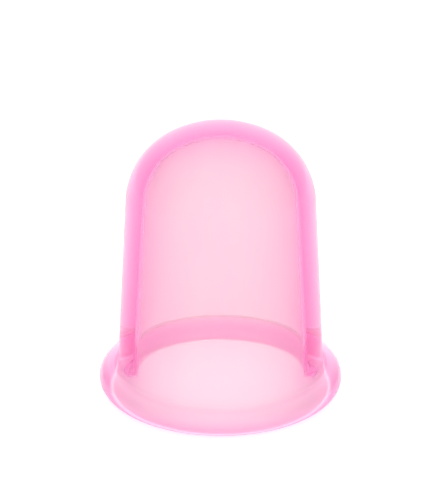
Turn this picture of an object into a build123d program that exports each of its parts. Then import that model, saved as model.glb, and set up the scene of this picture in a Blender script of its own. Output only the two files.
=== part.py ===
"""Silicone cupping cup: a domed, thick-walled suction cup with a rolled lip round its mouth.

The real cup is one moulding of one material. It is cut here into the four zones that it works by:
the lip that seals on the skin, the lower wall that the fingers hold, the upper wall that gives
when the cup is pressed, and the crown that travels down. The zones meet face to face, and their
outlines are stretches of one section, so no size is written twice.

Frame: millimetres, +Z up. The origin is the centre of the mouth, level with the lip's underside.
"""

from math import cos, radians, sin, tan
import os

from build123d import *

# Driving dimensions, in millimetres and degrees.
overall_height = 68.0
lip_diameter = 60.0  # over the outside of the rolled lip
lip_height = 6.4  # thickness of the lip, which is a full round on the outside
land_width = 0.6  # flat ring under the lip that the cup stands and seals on
ledge_width = 1.4  # top of the lip, from its round to the wall
root_radius = 1.2  # hollow where the wall stands on the ledge
draft = 3.4  # lean of the wall inwards, towards the crown
wall = 4.8  # the same in the wall and in the crown
crown_height = 18.7  # rise of the crown above the top of the wall
crown_angle = 30.6  # how far the flatter arc of the crown reaches, from the axis
collar_height = 1.6  # wall above the ledge that belongs to the lip
grip_height = 25.0  # wall above the collar that stays put when the crown is pressed

# The lip: the centre of its full round, and the foot of the wall on its ledge.
bead_radius = lip_height / 2
bead_x = lip_diameter / 2 - bead_radius
wall_foot = (bead_x - ledge_width, lip_height)

# The wall: both faces lean by the draft, a wall's thickness apart.
lean = tan(radians(draft))
crown_base = overall_height - crown_height
wall_top = (wall_foot[0] - lean * (crown_base - lip_height), crown_base)
wall_across = wall / cos(radians(draft))
inner_foot = (wall_foot[0] + lean * lip_height - wall_across, 0)

# The crown: a shoulder arc that leaves the wall smoothly, then a flatter arc over the axis. Their
# radii are the pair that covers the wall's half-width and the crown's rise.
side_share = cos(radians(draft)) - sin(radians(crown_angle))
rise_share = cos(radians(crown_angle)) - sin(radians(draft))
flat_side = sin(radians(crown_angle))
flat_rise = 1 - cos(radians(crown_angle))
share = flat_side * rise_share - side_share * flat_rise
crown_radius = (wall_top[0] * rise_share - crown_height * side_share) / share
shoulder_radius = (crown_height * flat_side - wall_top[0] * flat_rise) / share
shoulder_angle = 90 - draft - crown_angle

# The mouth flares from the inner face of the wall out to the land in one arc.
flare_reach = bead_x - land_width - inner_foot[0]
flare_radius = flare_reach * tan(radians((90 + draft) / 2))

# Heights at which one zone ends and the next begins.
lip_top = lip_height + collar_height
grip_top = lip_top + grip_height

with BuildPart() as cup:
    with BuildSketch(Plane.XZ):
        with BuildLine():
            ThreePointArc((bead_x, 0), (lip_diameter / 2, bead_radius), (bead_x, lip_height))
            Line((bead_x, lip_height), wall_foot)
            outer_wall = Line(wall_foot, wall_top)
            shoulder = JernArc(outer_wall @ 1, outer_wall % 1, shoulder_radius, shoulder_angle)
            crown_arc = JernArc(shoulder @ 1, shoulder % 1, crown_radius, crown_angle)
            axis_line = Line(crown_arc @ 1, (0, overall_height - wall))
            inner_crown = JernArc(axis_line @ 1, (1, 0), crown_radius - wall, -crown_angle)
            inner_shoulder = JernArc(
                inner_crown @ 1, inner_crown % 1, shoulder_radius - wall, -shoulder_angle
            )
            Line(inner_shoulder @ 1, inner_foot)
            Line(inner_foot, (bead_x, 0))
        make_face()
        fillet(vertices().sort_by_distance(wall_foot)[0], root_radius)
        fillet(vertices().sort_by_distance(inner_foot)[0], flare_radius)
    revolve(axis=Axis.Z)

with BuildPart() as mouth_lip:
    add(cup.part)
    split(bisect_by=Plane.XY.offset(lip_top), keep=Keep.BOTTOM)

with BuildPart() as lower_wall:
    add(cup.part)
    split(bisect_by=Plane.XY.offset(lip_top), keep=Keep.TOP)
    split(bisect_by=Plane.XY.offset(grip_top), keep=Keep.BOTTOM)

with BuildPart() as upper_wall:
    add(cup.part)
    split(bisect_by=Plane.XY.offset(grip_top), keep=Keep.TOP)
    split(bisect_by=Plane.XY.offset(crown_base), keep=Keep.BOTTOM)

with BuildPart() as crown:
    add(cup.part)
    split(bisect_by=Plane.XY.offset(crown_base), keep=Keep.TOP)

os.makedirs("parts", exist_ok=True)

mouth_lip.part.label = "mouth_lip"
export_step(mouth_lip.part, "parts/mouth_lip.step")

lower_wall.part.label = "lower_wall"
export_step(lower_wall.part, "parts/lower_wall.step")

upper_wall.part.label = "upper_wall"
export_step(upper_wall.part, "parts/upper_wall.step")

crown.part.label = "crown"
export_step(crown.part, "parts/crown.step")
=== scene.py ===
from math import atan2, cos, degrees, pi, radians, sin, tan

import bpy
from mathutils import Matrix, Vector


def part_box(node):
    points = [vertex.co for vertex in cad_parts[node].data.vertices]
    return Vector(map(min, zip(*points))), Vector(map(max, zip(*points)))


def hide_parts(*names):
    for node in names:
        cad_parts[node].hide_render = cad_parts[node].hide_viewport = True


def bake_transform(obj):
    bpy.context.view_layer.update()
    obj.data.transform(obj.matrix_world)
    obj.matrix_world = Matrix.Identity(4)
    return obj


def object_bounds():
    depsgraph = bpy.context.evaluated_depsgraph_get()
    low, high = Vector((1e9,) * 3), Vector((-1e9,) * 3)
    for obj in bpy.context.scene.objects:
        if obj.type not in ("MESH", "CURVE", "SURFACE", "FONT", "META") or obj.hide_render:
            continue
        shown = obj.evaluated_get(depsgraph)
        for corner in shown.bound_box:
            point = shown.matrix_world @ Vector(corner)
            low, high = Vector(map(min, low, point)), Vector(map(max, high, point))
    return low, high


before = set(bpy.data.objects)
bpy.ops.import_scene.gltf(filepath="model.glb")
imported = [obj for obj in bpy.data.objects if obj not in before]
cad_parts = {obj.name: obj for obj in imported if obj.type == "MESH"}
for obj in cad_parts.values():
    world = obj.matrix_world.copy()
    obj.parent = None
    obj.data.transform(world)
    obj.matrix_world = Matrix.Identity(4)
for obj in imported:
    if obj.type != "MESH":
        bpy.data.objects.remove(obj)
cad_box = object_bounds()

scene = bpy.context.scene

# ---------------------------------------------------------------------------------------------
# Sizes. The outside and the zones come from the frame; the rest are the moulding's own.

LIP_HEIGHT = 0.0064
LAND_WIDTH = 0.0006
ROOT_RADIUS = 0.0012
WALL = 0.0048
CROWN_ANGLE = 30.6

lip_radius = cad_box[1].x
height = cad_box[1].z
wall_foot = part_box("lower_wall")
crown_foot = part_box("crown")
lip_top = wall_foot[0].z
crown_base = crown_foot[0].z
crown_base_radius = crown_foot[1].x
lean = atan2(wall_foot[1].x - crown_base_radius, crown_base - lip_top)


def outer_wall(z):
    """Radius of the wall's outer face at a height."""
    return crown_base_radius + tan(lean) * (crown_base - z)


# ---------------------------------------------------------------------------------------------
# The section, as (distance from the axis, height): down the outside, round the lip, up inside.

ARC_STEP = 3.0
WALL_STEPS = 24


def arc(centre, radius, start, end):
    """Points along an arc in even steps, both ends included."""
    steps = max(2, round(abs(end - start) / ARC_STEP))
    angles = [radians(start + (end - start) * i / steps) for i in range(steps + 1)]
    return [(centre[0] + radius * cos(a), centre[1] + radius * sin(a)) for a in angles]


def between(start, end, steps):
    """Points along a straight stretch, without its ends."""
    shares = [i / steps for i in range(1, steps)]
    return [tuple(a + (b - a) * s for a, b in zip(start, end)) for s in shares]


def crown_radii():
    """The flatter arc over the axis and the shoulder arc that carry the wall up to the apex."""
    turn = radians(CROWN_ANGLE)
    rise = height - crown_base
    side_share = cos(lean) - sin(turn)
    rise_share = cos(turn) - sin(lean)
    share = sin(turn) * rise_share - side_share * (1 - cos(turn))
    flat = (crown_base_radius * rise_share - rise * side_share) / share
    shoulder = (rise * sin(turn) - crown_base_radius * (1 - cos(turn))) / share
    return flat, shoulder


def cup_section():
    """Half of the cup's outline, from its top outside to its top inside, and the core's start."""
    lean_angle = degrees(lean)
    half_corner = tan(radians((90 - lean_angle) / 2))
    flat, shoulder = crown_radii()
    turn = radians(CROWN_ANGLE)
    crown_centre = (0.0, height - flat)
    between_centres = flat - shoulder
    shoulder_centre = (
        between_centres * sin(turn),
        crown_centre[1] + between_centres * cos(turn),
    )
    bead_radius = LIP_HEIGHT / 2
    bead_centre = (lip_radius - bead_radius, bead_radius)
    root_centre = (outer_wall(LIP_HEIGHT) + ROOT_RADIUS * half_corner, LIP_HEIGHT + ROOT_RADIUS)
    land_inside = bead_centre[0] - LAND_WIDTH
    flare = (land_inside - outer_wall(0) + WALL / cos(lean)) / half_corner

    outer_crown = arc(crown_centre, flat, 90, 90 - CROWN_ANGLE)
    outer_shoulder = arc(shoulder_centre, shoulder, 90 - CROWN_ANGLE, lean_angle)
    root = arc(root_centre, ROOT_RADIUS, 180 + lean_angle, 270)
    bead = arc(bead_centre, bead_radius, 90, -90)
    mouth = arc((land_inside, flare), flare, 270, 180 + lean_angle)
    inner_shoulder = arc(shoulder_centre, shoulder - WALL, lean_angle, 90 - CROWN_ANGLE)
    inner_crown = arc(crown_centre, flat - WALL, 90 - CROWN_ANGLE, 90)

    outside = outer_crown + outer_shoulder[1:]
    outside += between(outer_shoulder[-1], root[0], WALL_STEPS) + root
    inside = between(mouth[-1], inner_shoulder[0], WALL_STEPS)
    inside += inner_shoulder + inner_crown[1:]
    return outside + bead + mouth + inside, len(outside + bead)


# ---------------------------------------------------------------------------------------------
# Node helpers


def add_node(tree, kind, values=(), links=(), **settings):
    """A node with its settings, its input values and its links, both keyed by input."""
    node = tree.nodes.new(kind)
    for key, value in settings.items():
        setattr(node, key, value)
    for key, value in dict(values).items():
        node.inputs[key].default_value = value
    for key, source in dict(links).items():
        tree.links.new(source, node.inputs[key])
    return node


def calculate(tree, operation, *terms):
    """A Math node whose terms are numbers or sockets."""
    numbers = {i: t for i, t in enumerate(terms) if isinstance(t, (int, float))}
    sockets = {i: t for i, t in enumerate(terms) if i not in numbers}
    return add_node(tree, "ShaderNodeMath", numbers, sockets, operation=operation).outputs[0]


# ---------------------------------------------------------------------------------------------
# The lathe turns a section about the vertical axis into one closed skin.

STEPS_AROUND = 360
WELD_DISTANCE = 1e-6
CORE_SIDE = "core_side"


def lathe_tree():
    """The Geometry Nodes tree that turns a section's points about the vertical axis."""
    tree = bpy.data.node_groups.new("Lathe", "GeometryNodeTree")
    tree.is_modifier = True
    for name, kind in (
        ("Section", "Geometry"),
        ("Section Points", "Int"),
        ("First Core Point", "Int"),
        ("Steps Around", "Int"),
        ("Weld Distance", "Float"),
        ("Finish", "Material"),
    ):
        tree.interface.new_socket(name=name, in_out="INPUT", socket_type="NodeSocket" + kind)
    tree.interface.new_socket(name="Skin", in_out="OUTPUT", socket_type="NodeSocketGeometry")
    given = add_node(tree, "NodeGroupInput").outputs

    # a grid whose rows are the section's points and whose columns go round the axis
    columns = calculate(tree, "ADD", given["Steps Around"], 1)
    grid = add_node(
        tree,
        "GeometryNodeMeshGrid",
        {"Size X": 1.0, "Size Y": 1.0},
        {"Vertices X": given["Section Points"], "Vertices Y": columns},
    )
    position = add_node(tree, "GeometryNodeInputPosition").outputs[0]
    share = add_node(tree, "ShaderNodeSeparateXYZ", (), {0: position}).outputs
    last = calculate(tree, "SUBTRACT", given["Section Points"], 1)
    row = calculate(tree, "MULTIPLY", calculate(tree, "ADD", share["X"], 0.5), last)
    sample = add_node(
        tree,
        "GeometryNodeSampleIndex",
        (),
        {"Geometry": given["Section"], "Index": calculate(tree, "ROUND", row)},
        data_type="FLOAT_VECTOR",
    )
    tree.links.new(position, sample.inputs["Value"])
    turned = add_node(
        tree,
        "ShaderNodeVectorRotate",
        (),
        {
            "Vector": sample.outputs["Value"],
            "Angle": calculate(tree, "MULTIPLY", calculate(tree, "ADD", share["Y"], 0.5), 2 * pi),
        },
        rotation_type="Z_AXIS",
    )
    skin = add_node(
        tree,
        "GeometryNodeSetPosition",
        (),
        {"Geometry": grid.outputs["Mesh"], "Position": turned.outputs[0]},
    )
    # the side that the mould's core makes is marked for the finish
    core = add_node(
        tree,
        "FunctionNodeCompare",
        (),
        {"A": row, "B": given["First Core Point"]},
        operation="GREATER_THAN",
    )
    skin = add_node(
        tree,
        "GeometryNodeStoreNamedAttribute",
        {"Name": CORE_SIDE},
        {"Geometry": skin.outputs[0], "Value": core.outputs[0]},
        data_type="FLOAT",
    )
    # the seam and the two poles are closed by welding
    skin = add_node(
        tree,
        "GeometryNodeMergeByDistance",
        (),
        {"Geometry": skin.outputs[0], "Distance": given["Weld Distance"]},
    )
    skin = add_node(tree, "GeometryNodeSetShadeSmooth", (), {"Geometry": skin.outputs[0]})
    skin = add_node(tree, "GeometryNodeRealizeInstances", (), {"Geometry": skin.outputs[0]})
    skin = add_node(
        tree,
        "GeometryNodeSetMaterial",
        (),
        {"Geometry": skin.outputs[0], "Material": given["Finish"]},
    )
    add_node(tree, "NodeGroupOutput", (), {0: skin.outputs[0]})
    return tree


def turned_skin(name, outline, first_core_point, finish):
    """The closed mesh of an outline turned about the axis, as a plain object."""
    section = bpy.data.meshes.new(name + "_section")
    section.from_pydata([(x, 0.0, z) for x, z in outline], [], [])
    blank = bpy.data.objects.new(name + "_section", section)
    scene.collection.objects.link(blank)
    tree = lathe_tree()
    lathe = blank.modifiers.new("Lathe", "NODES")
    lathe.node_group = tree
    sizes = {
        "Section Points": len(outline),
        "First Core Point": first_core_point,
        "Steps Around": STEPS_AROUND,
        "Weld Distance": WELD_DISTANCE,
        "Finish": finish,
    }
    for item in tree.interface.items_tree:
        if item.name in sizes:
            lathe[item.identifier] = sizes[item.name]
    shown = blank.evaluated_get(bpy.context.evaluated_depsgraph_get())
    mesh = bpy.data.meshes.new_from_object(shown)
    mesh.materials.pop(index=0)
    blank.modifiers.remove(lathe)
    bpy.data.objects.remove(blank)
    mesh.name = name
    piece = bpy.data.objects.new(name, mesh)
    scene.collection.objects.link(piece)
    return piece


# ---------------------------------------------------------------------------------------------
# The silicone: soft rubber dyed pink, clear enough to see the far wall through the near one

DYE_COLOUR = (0.93, 0.2, 0.7, 1)
DYE_DENSITY = 75.0
CLEARNESS = 0.92
BODY_IOR = 1.04
GLOSS_IOR = 1.41
GLOSS_ROUGHNESS = 0.17
WALL_GLOSS = 0.5
LIP_GLOSS = 1.0
CORE_GLOSS = 0.1
WALL_COLOUR = (0.925, 0.955, 0.86, 1)
FLOW_COLOUR = (0.92, 0.925, 0.855, 1)
# painted light: the whole lip is painted paler, standing in for the light its top catches
LIP_PAINTED_LIGHT_COLOUR = (0.96, 1.0, 0.9, 1)
# painted shade: the bead's lower outer half is painted a deeper pink, standing in for the shade
# it gets facing down, away from the light
UNDERSIDE_PAINTED_SHADE_COLOUR = (0.94, 0.5, 0.77, 1)
OUTER_ROUGHNESS = 0.14
RUBBED_ROUGHNESS = 0.19
CORE_ROUGHNESS = 0.35
LIP_ROUGHNESS = 0.4
GRAIN_STRENGTH = 0.12
GRAIN_DEPTH = 0.00004
# levels of the noise between which a flow streak or a rubbed patch comes in
STREAK_RANGE = (0.35, 0.7)
PATCH_RANGE = (0.4, 0.68)
# shares of the bead's height between which the painted shade on its underside fades out
PAINTED_SHADE_FADE = (0.25, 0.92)


def add_group(name, inputs, outputs):
    """An empty shader node group with its sockets; inputs hold (kind, starting value)."""
    tree = bpy.data.node_groups.new(name, "ShaderNodeTree")
    for key, (kind, value) in inputs.items():
        kind = "NodeSocket" + kind
        socket = tree.interface.new_socket(name=key, in_out="INPUT", socket_type=kind)
        socket.default_value = value
    for key, kind in outputs.items():
        tree.interface.new_socket(name=key, in_out="OUTPUT", socket_type="NodeSocket" + kind)
    given = add_node(tree, "NodeGroupInput").outputs
    result = add_node(tree, "NodeGroupOutput").inputs
    return tree, given, result


def stretched_noise(tree, across, along, detail):
    """Noise in object space with its own cell size across and along the axis."""
    place = add_node(tree, "ShaderNodeTexCoord").outputs["Object"]
    scale = add_node(tree, "ShaderNodeCombineXYZ", (), {0: across, 1: across, 2: along})
    cell = add_node(
        tree,
        "ShaderNodeVectorMath",
        (),
        {0: place, 1: scale.outputs[0]},
        operation="DIVIDE",
    )
    values = {"Scale": 1.0, "Detail": detail}
    noise = add_node(tree, "ShaderNodeTexNoise", values, {"Vector": cell.outputs[0]})
    return noise.outputs["Fac"]


def spread(tree, value, low, high, out_low, out_high):
    """Value taken from one range to another, softly at both ends."""
    terms = {"From Min": low, "From Max": high, "To Min": out_low, "To Max": out_high}
    numbers = {key: term for key, term in terms.items() if isinstance(term, (int, float))}
    sockets = {key: term for key, term in terms.items() if key not in numbers}
    sockets["Value"] = value
    node = add_node(
        tree, "ShaderNodeMapRange", numbers, sockets, interpolation_type="SMOOTHSTEP"
    )
    return node.outputs[0]


def moulded_surface():
    """Flow marks in the dye, the mould's fine grain, and soft patches left by handling."""
    tree, given, result = add_group(
        "Moulded Surface",
        {
            "Colour": ("Color", (1, 1, 1, 1)),
            "Flow Colour": ("Color", (1, 0.95, 0.97, 1)),
            "Flow Width": ("Float", 0.005),
            "Flow Length": ("Float", 0.03),
            "Roughness": ("Float", 0.15),
            "Rubbed Roughness": ("Float", 0.22),
            "Patch Size": ("Float", 0.009),
            "Grain Size": ("Float", 0.0004),
        },
        {"Colour": "Color", "Roughness": "Float", "Grain": "Float"},
    )
    flow = stretched_noise(tree, given["Flow Width"], given["Flow Length"], 3.0)
    streak = spread(tree, flow, *STREAK_RANGE, 0.0, 1.0)
    tint = add_node(
        tree,
        "ShaderNodeMix",
        (),
        {"Factor": streak, "A": given["Colour"], "B": given["Flow Colour"]},
        data_type="RGBA",
    )
    patch = stretched_noise(tree, given["Patch Size"], given["Patch Size"], 4.0)
    matt = spread(tree, patch, *PATCH_RANGE, given["Roughness"], given["Rubbed Roughness"])
    grain = stretched_noise(tree, given["Grain Size"], given["Grain Size"], 2.0)
    tree.links.new(tint.outputs["Result"], result["Colour"])
    tree.links.new(matt, result["Roughness"])
    tree.links.new(grain, result["Grain"])
    return tree


def rim_zone():
    """Masks for what stands out past the wall's foot, and for the bead's lower outer half, where
    shade is painted into the colour.
    """
    tree, given, result = add_group(
        "Rim Zone",
        {
            "Wall Foot": ("Float", 0.0254),
            "Bead Height": ("Float", 0.0064),
            "Bead Inside": ("Float", 0.0262),
            "Soft Edge": ("Float", 0.0014),
        },
        {"Lip": "Float", "Painted Shade Underside": "Float"},
    )
    place = add_node(tree, "ShaderNodeTexCoord").outputs["Object"]
    part = add_node(tree, "ShaderNodeSeparateXYZ", (), {0: place}).outputs
    squares = [calculate(tree, "MULTIPLY", part[axis], part[axis]) for axis in "XY"]
    radius = calculate(tree, "SQRT", calculate(tree, "ADD", *squares))
    root = calculate(tree, "ADD", given["Wall Foot"], given["Soft Edge"])
    lip = spread(tree, radius, given["Wall Foot"], root, 0.0, 1.0)
    fade = [calculate(tree, "MULTIPLY", given["Bead Height"], s) for s in PAINTED_SHADE_FADE]
    below = spread(tree, part["Z"], *fade, 1.0, 0.0)
    edge = calculate(tree, "ADD", given["Bead Inside"], given["Soft Edge"])
    outside = spread(tree, radius, given["Bead Inside"], edge, 0.0, 1.0)
    tree.links.new(lip, result["Lip"])
    tree.links.new(calculate(tree, "MULTIPLY", below, outside), result["Painted Shade Underside"])
    return tree


def silicone():
    """The dyed rubber, clear in the wall and glossier in the lip, with the lip painted paler as
    painted light and its underside painted pinker as painted shade.
    """
    material = bpy.data.materials.new("cup_silicone")
    material.use_nodes = True
    tree = material.node_tree
    body = tree.nodes["Principled BSDF"]
    surface = add_node(tree, "ShaderNodeGroup", node_tree=moulded_surface())
    for key, value in {
        "Colour": WALL_COLOUR,
        "Flow Colour": FLOW_COLOUR,
        "Roughness": OUTER_ROUGHNESS,
        "Rubbed Roughness": RUBBED_ROUGHNESS,
    }.items():
        surface.inputs[key].default_value = value
    zone = add_node(tree, "ShaderNodeGroup", node_tree=rim_zone())
    zone.inputs["Wall Foot"].default_value = outer_wall(LIP_HEIGHT)
    zone.inputs["Bead Height"].default_value = LIP_HEIGHT
    zone.inputs["Bead Inside"].default_value = lip_radius - LIP_HEIGHT / 2 - LAND_WIDTH
    colour = surface.outputs["Colour"]
    # the whole lip is painted paler as painted light, then its lower outer half deeper pink as
    # painted shade
    for mask, shade in (("Lip", LIP_PAINTED_LIGHT_COLOUR), ("Painted Shade Underside", UNDERSIDE_PAINTED_SHADE_COLOUR)):
        mix = add_node(
            tree,
            "ShaderNodeMix",
            (),
            {"Factor": zone.outputs[mask], "A": colour},
            data_type="RGBA",
        )
        mix.inputs["B"].default_value = shade
        colour = mix.outputs["Result"]
    tree.links.new(colour, body.inputs["Base Color"])
    core = add_node(tree, "ShaderNodeAttribute", attribute_name=CORE_SIDE).outputs["Fac"]
    gloss = spread(tree, zone.outputs["Lip"], 0.0, 1.0, WALL_GLOSS, LIP_GLOSS)
    gloss = spread(tree, core, 0.0, 1.0, gloss, CORE_GLOSS)
    tree.links.new(gloss, body.inputs["Coat Weight"])
    matt = spread(tree, core, 0.0, 1.0, surface.outputs["Roughness"], CORE_ROUGHNESS)
    lip_matt = calculate(tree, "MULTIPLY", zone.outputs["Lip"], LIP_ROUGHNESS)
    matt = calculate(tree, "MAXIMUM", matt, lip_matt)
    tree.links.new(matt, body.inputs["Roughness"])
    grain = add_node(
        tree,
        "ShaderNodeBump",
        {"Strength": GRAIN_STRENGTH, "Distance": GRAIN_DEPTH},
        {"Height": surface.outputs["Grain"]},
    )
    tree.links.new(grain.outputs[0], body.inputs["Normal"])
    body.inputs["IOR"].default_value = BODY_IOR
    body.inputs["Transmission Weight"].default_value = CLEARNESS
    body.inputs["Coat IOR"].default_value = GLOSS_IOR
    body.inputs["Coat Roughness"].default_value = GLOSS_ROUGHNESS
    dye = add_node(
        tree, "ShaderNodeVolumeAbsorption", {"Color": DYE_COLOUR, "Density": DYE_DENSITY}
    )
    tree.links.new(dye.outputs[0], tree.nodes["Material Output"].inputs["Volume"])
    return material


# ---------------------------------------------------------------------------------------------
# The cup

cup = turned_skin("cup_skin", *cup_section(), silicone())
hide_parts("mouth_lip", "lower_wall", "upper_wall", "crown")
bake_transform(cup)

# ---------------------------------------------------------------------------------------------
# Floor, light and camera

FLOOR_RADIUS = 3.0
FLOOR_GLOW = 0.53
FLOOR_SHADE = 0.82
FLOOR_ROUGHNESS = 0.8


def pale_floor():
    """A white table lit a little from below, as for product pictures."""
    mesh = bpy.data.meshes.new("floor")
    r = FLOOR_RADIUS
    mesh.from_pydata([(-r, -r, 0), (r, -r, 0), (r, r, 0), (-r, r, 0)], [], [(0, 1, 2, 3)])
    floor = bpy.data.objects.new("floor", mesh)
    scene.collection.objects.link(floor)
    paint = bpy.data.materials.new("floor_paint")
    paint.use_nodes = True
    shader = paint.node_tree.nodes["Principled BSDF"].inputs
    shader["Base Color"].default_value = (FLOOR_SHADE, FLOOR_SHADE, FLOOR_SHADE, 1)
    shader["Roughness"].default_value = FLOOR_ROUGHNESS
    shader["Emission Color"].default_value = (1, 1, 1, 1)
    shader["Emission Strength"].default_value = FLOOR_GLOW
    mesh.materials.append(paint)


SKY_BASE = 0.5
# each soft light: azimuth from the front towards +X, rise above the floor, half widths of its
# full part and of the whole, and how much brighter than the base it is. The last two are dark
# flags at the sides, which keep the cup's edges from washing out.
SOFT_LIGHTS = (
    (0, 15, 20, 78, 0.95),
    (180, 20, 10, 45, 0.75),
    (180, 65, 15, 60, 0.9),
    (-85, 25, 15, 50, -0.3),
    (85, 25, 15, 50, -0.3),
)


def towards(azimuth, rise):
    """Unit vector for an azimuth from the front (-Y) towards +X and a rise above the floor."""
    a, e = radians(azimuth), radians(rise)
    return (cos(e) * sin(a), -cos(e) * cos(a), sin(e))


def studio_world():
    """An even sky with the soft lights added to it."""
    world = bpy.data.worlds.new("studio")
    world.use_nodes = True
    scene.world = world
    tree = world.node_tree
    direction = add_node(tree, "ShaderNodeTexCoord").outputs["Generated"]
    light = SKY_BASE
    for azimuth, rise, full, whole, gain in SOFT_LIGHTS:
        facing = add_node(
            tree,
            "ShaderNodeVectorMath",
            {1: towards(azimuth, rise)},
            {0: direction},
            operation="DOT_PRODUCT",
        )
        glow = spread(
            tree, facing.outputs["Value"], cos(radians(whole)), cos(radians(full)), 0.0, gain
        )
        light = calculate(tree, "ADD", light, glow)
    tree.links.new(light, tree.nodes["Background"].inputs["Strength"])
    tree.nodes["Background"].inputs["Color"].default_value = (1, 1, 1, 1)


CAMERA_RISE = 23.0
CAMERA_DISTANCE = 0.4844
CAMERA_LENS = 144
CAMERA_TARGET = Vector((0, 0, 0.0339))
AIM_OFFSET = (-0.00126, 0.00197)  # across and up; the cup sits a little low and right


def add_camera():
    rise = radians(CAMERA_RISE)
    back = Vector((0, -cos(rise), sin(rise)))
    up = Vector((0, sin(rise), cos(rise)))
    eye = CAMERA_TARGET + back * CAMERA_DISTANCE
    aim = CAMERA_TARGET + Vector((AIM_OFFSET[0], 0, 0)) + up * AIM_OFFSET[1]
    data = bpy.data.cameras.new("camera")
    data.lens = CAMERA_LENS
    camera = bpy.data.objects.new("camera", data)
    camera.location = eye
    camera.rotation_euler = (aim - eye).to_track_quat("-Z", "Y").to_euler()
    scene.collection.objects.link(camera)
    scene.camera = camera


pale_floor()
studio_world()
add_camera()
scene.view_settings.view_transform = "Standard"
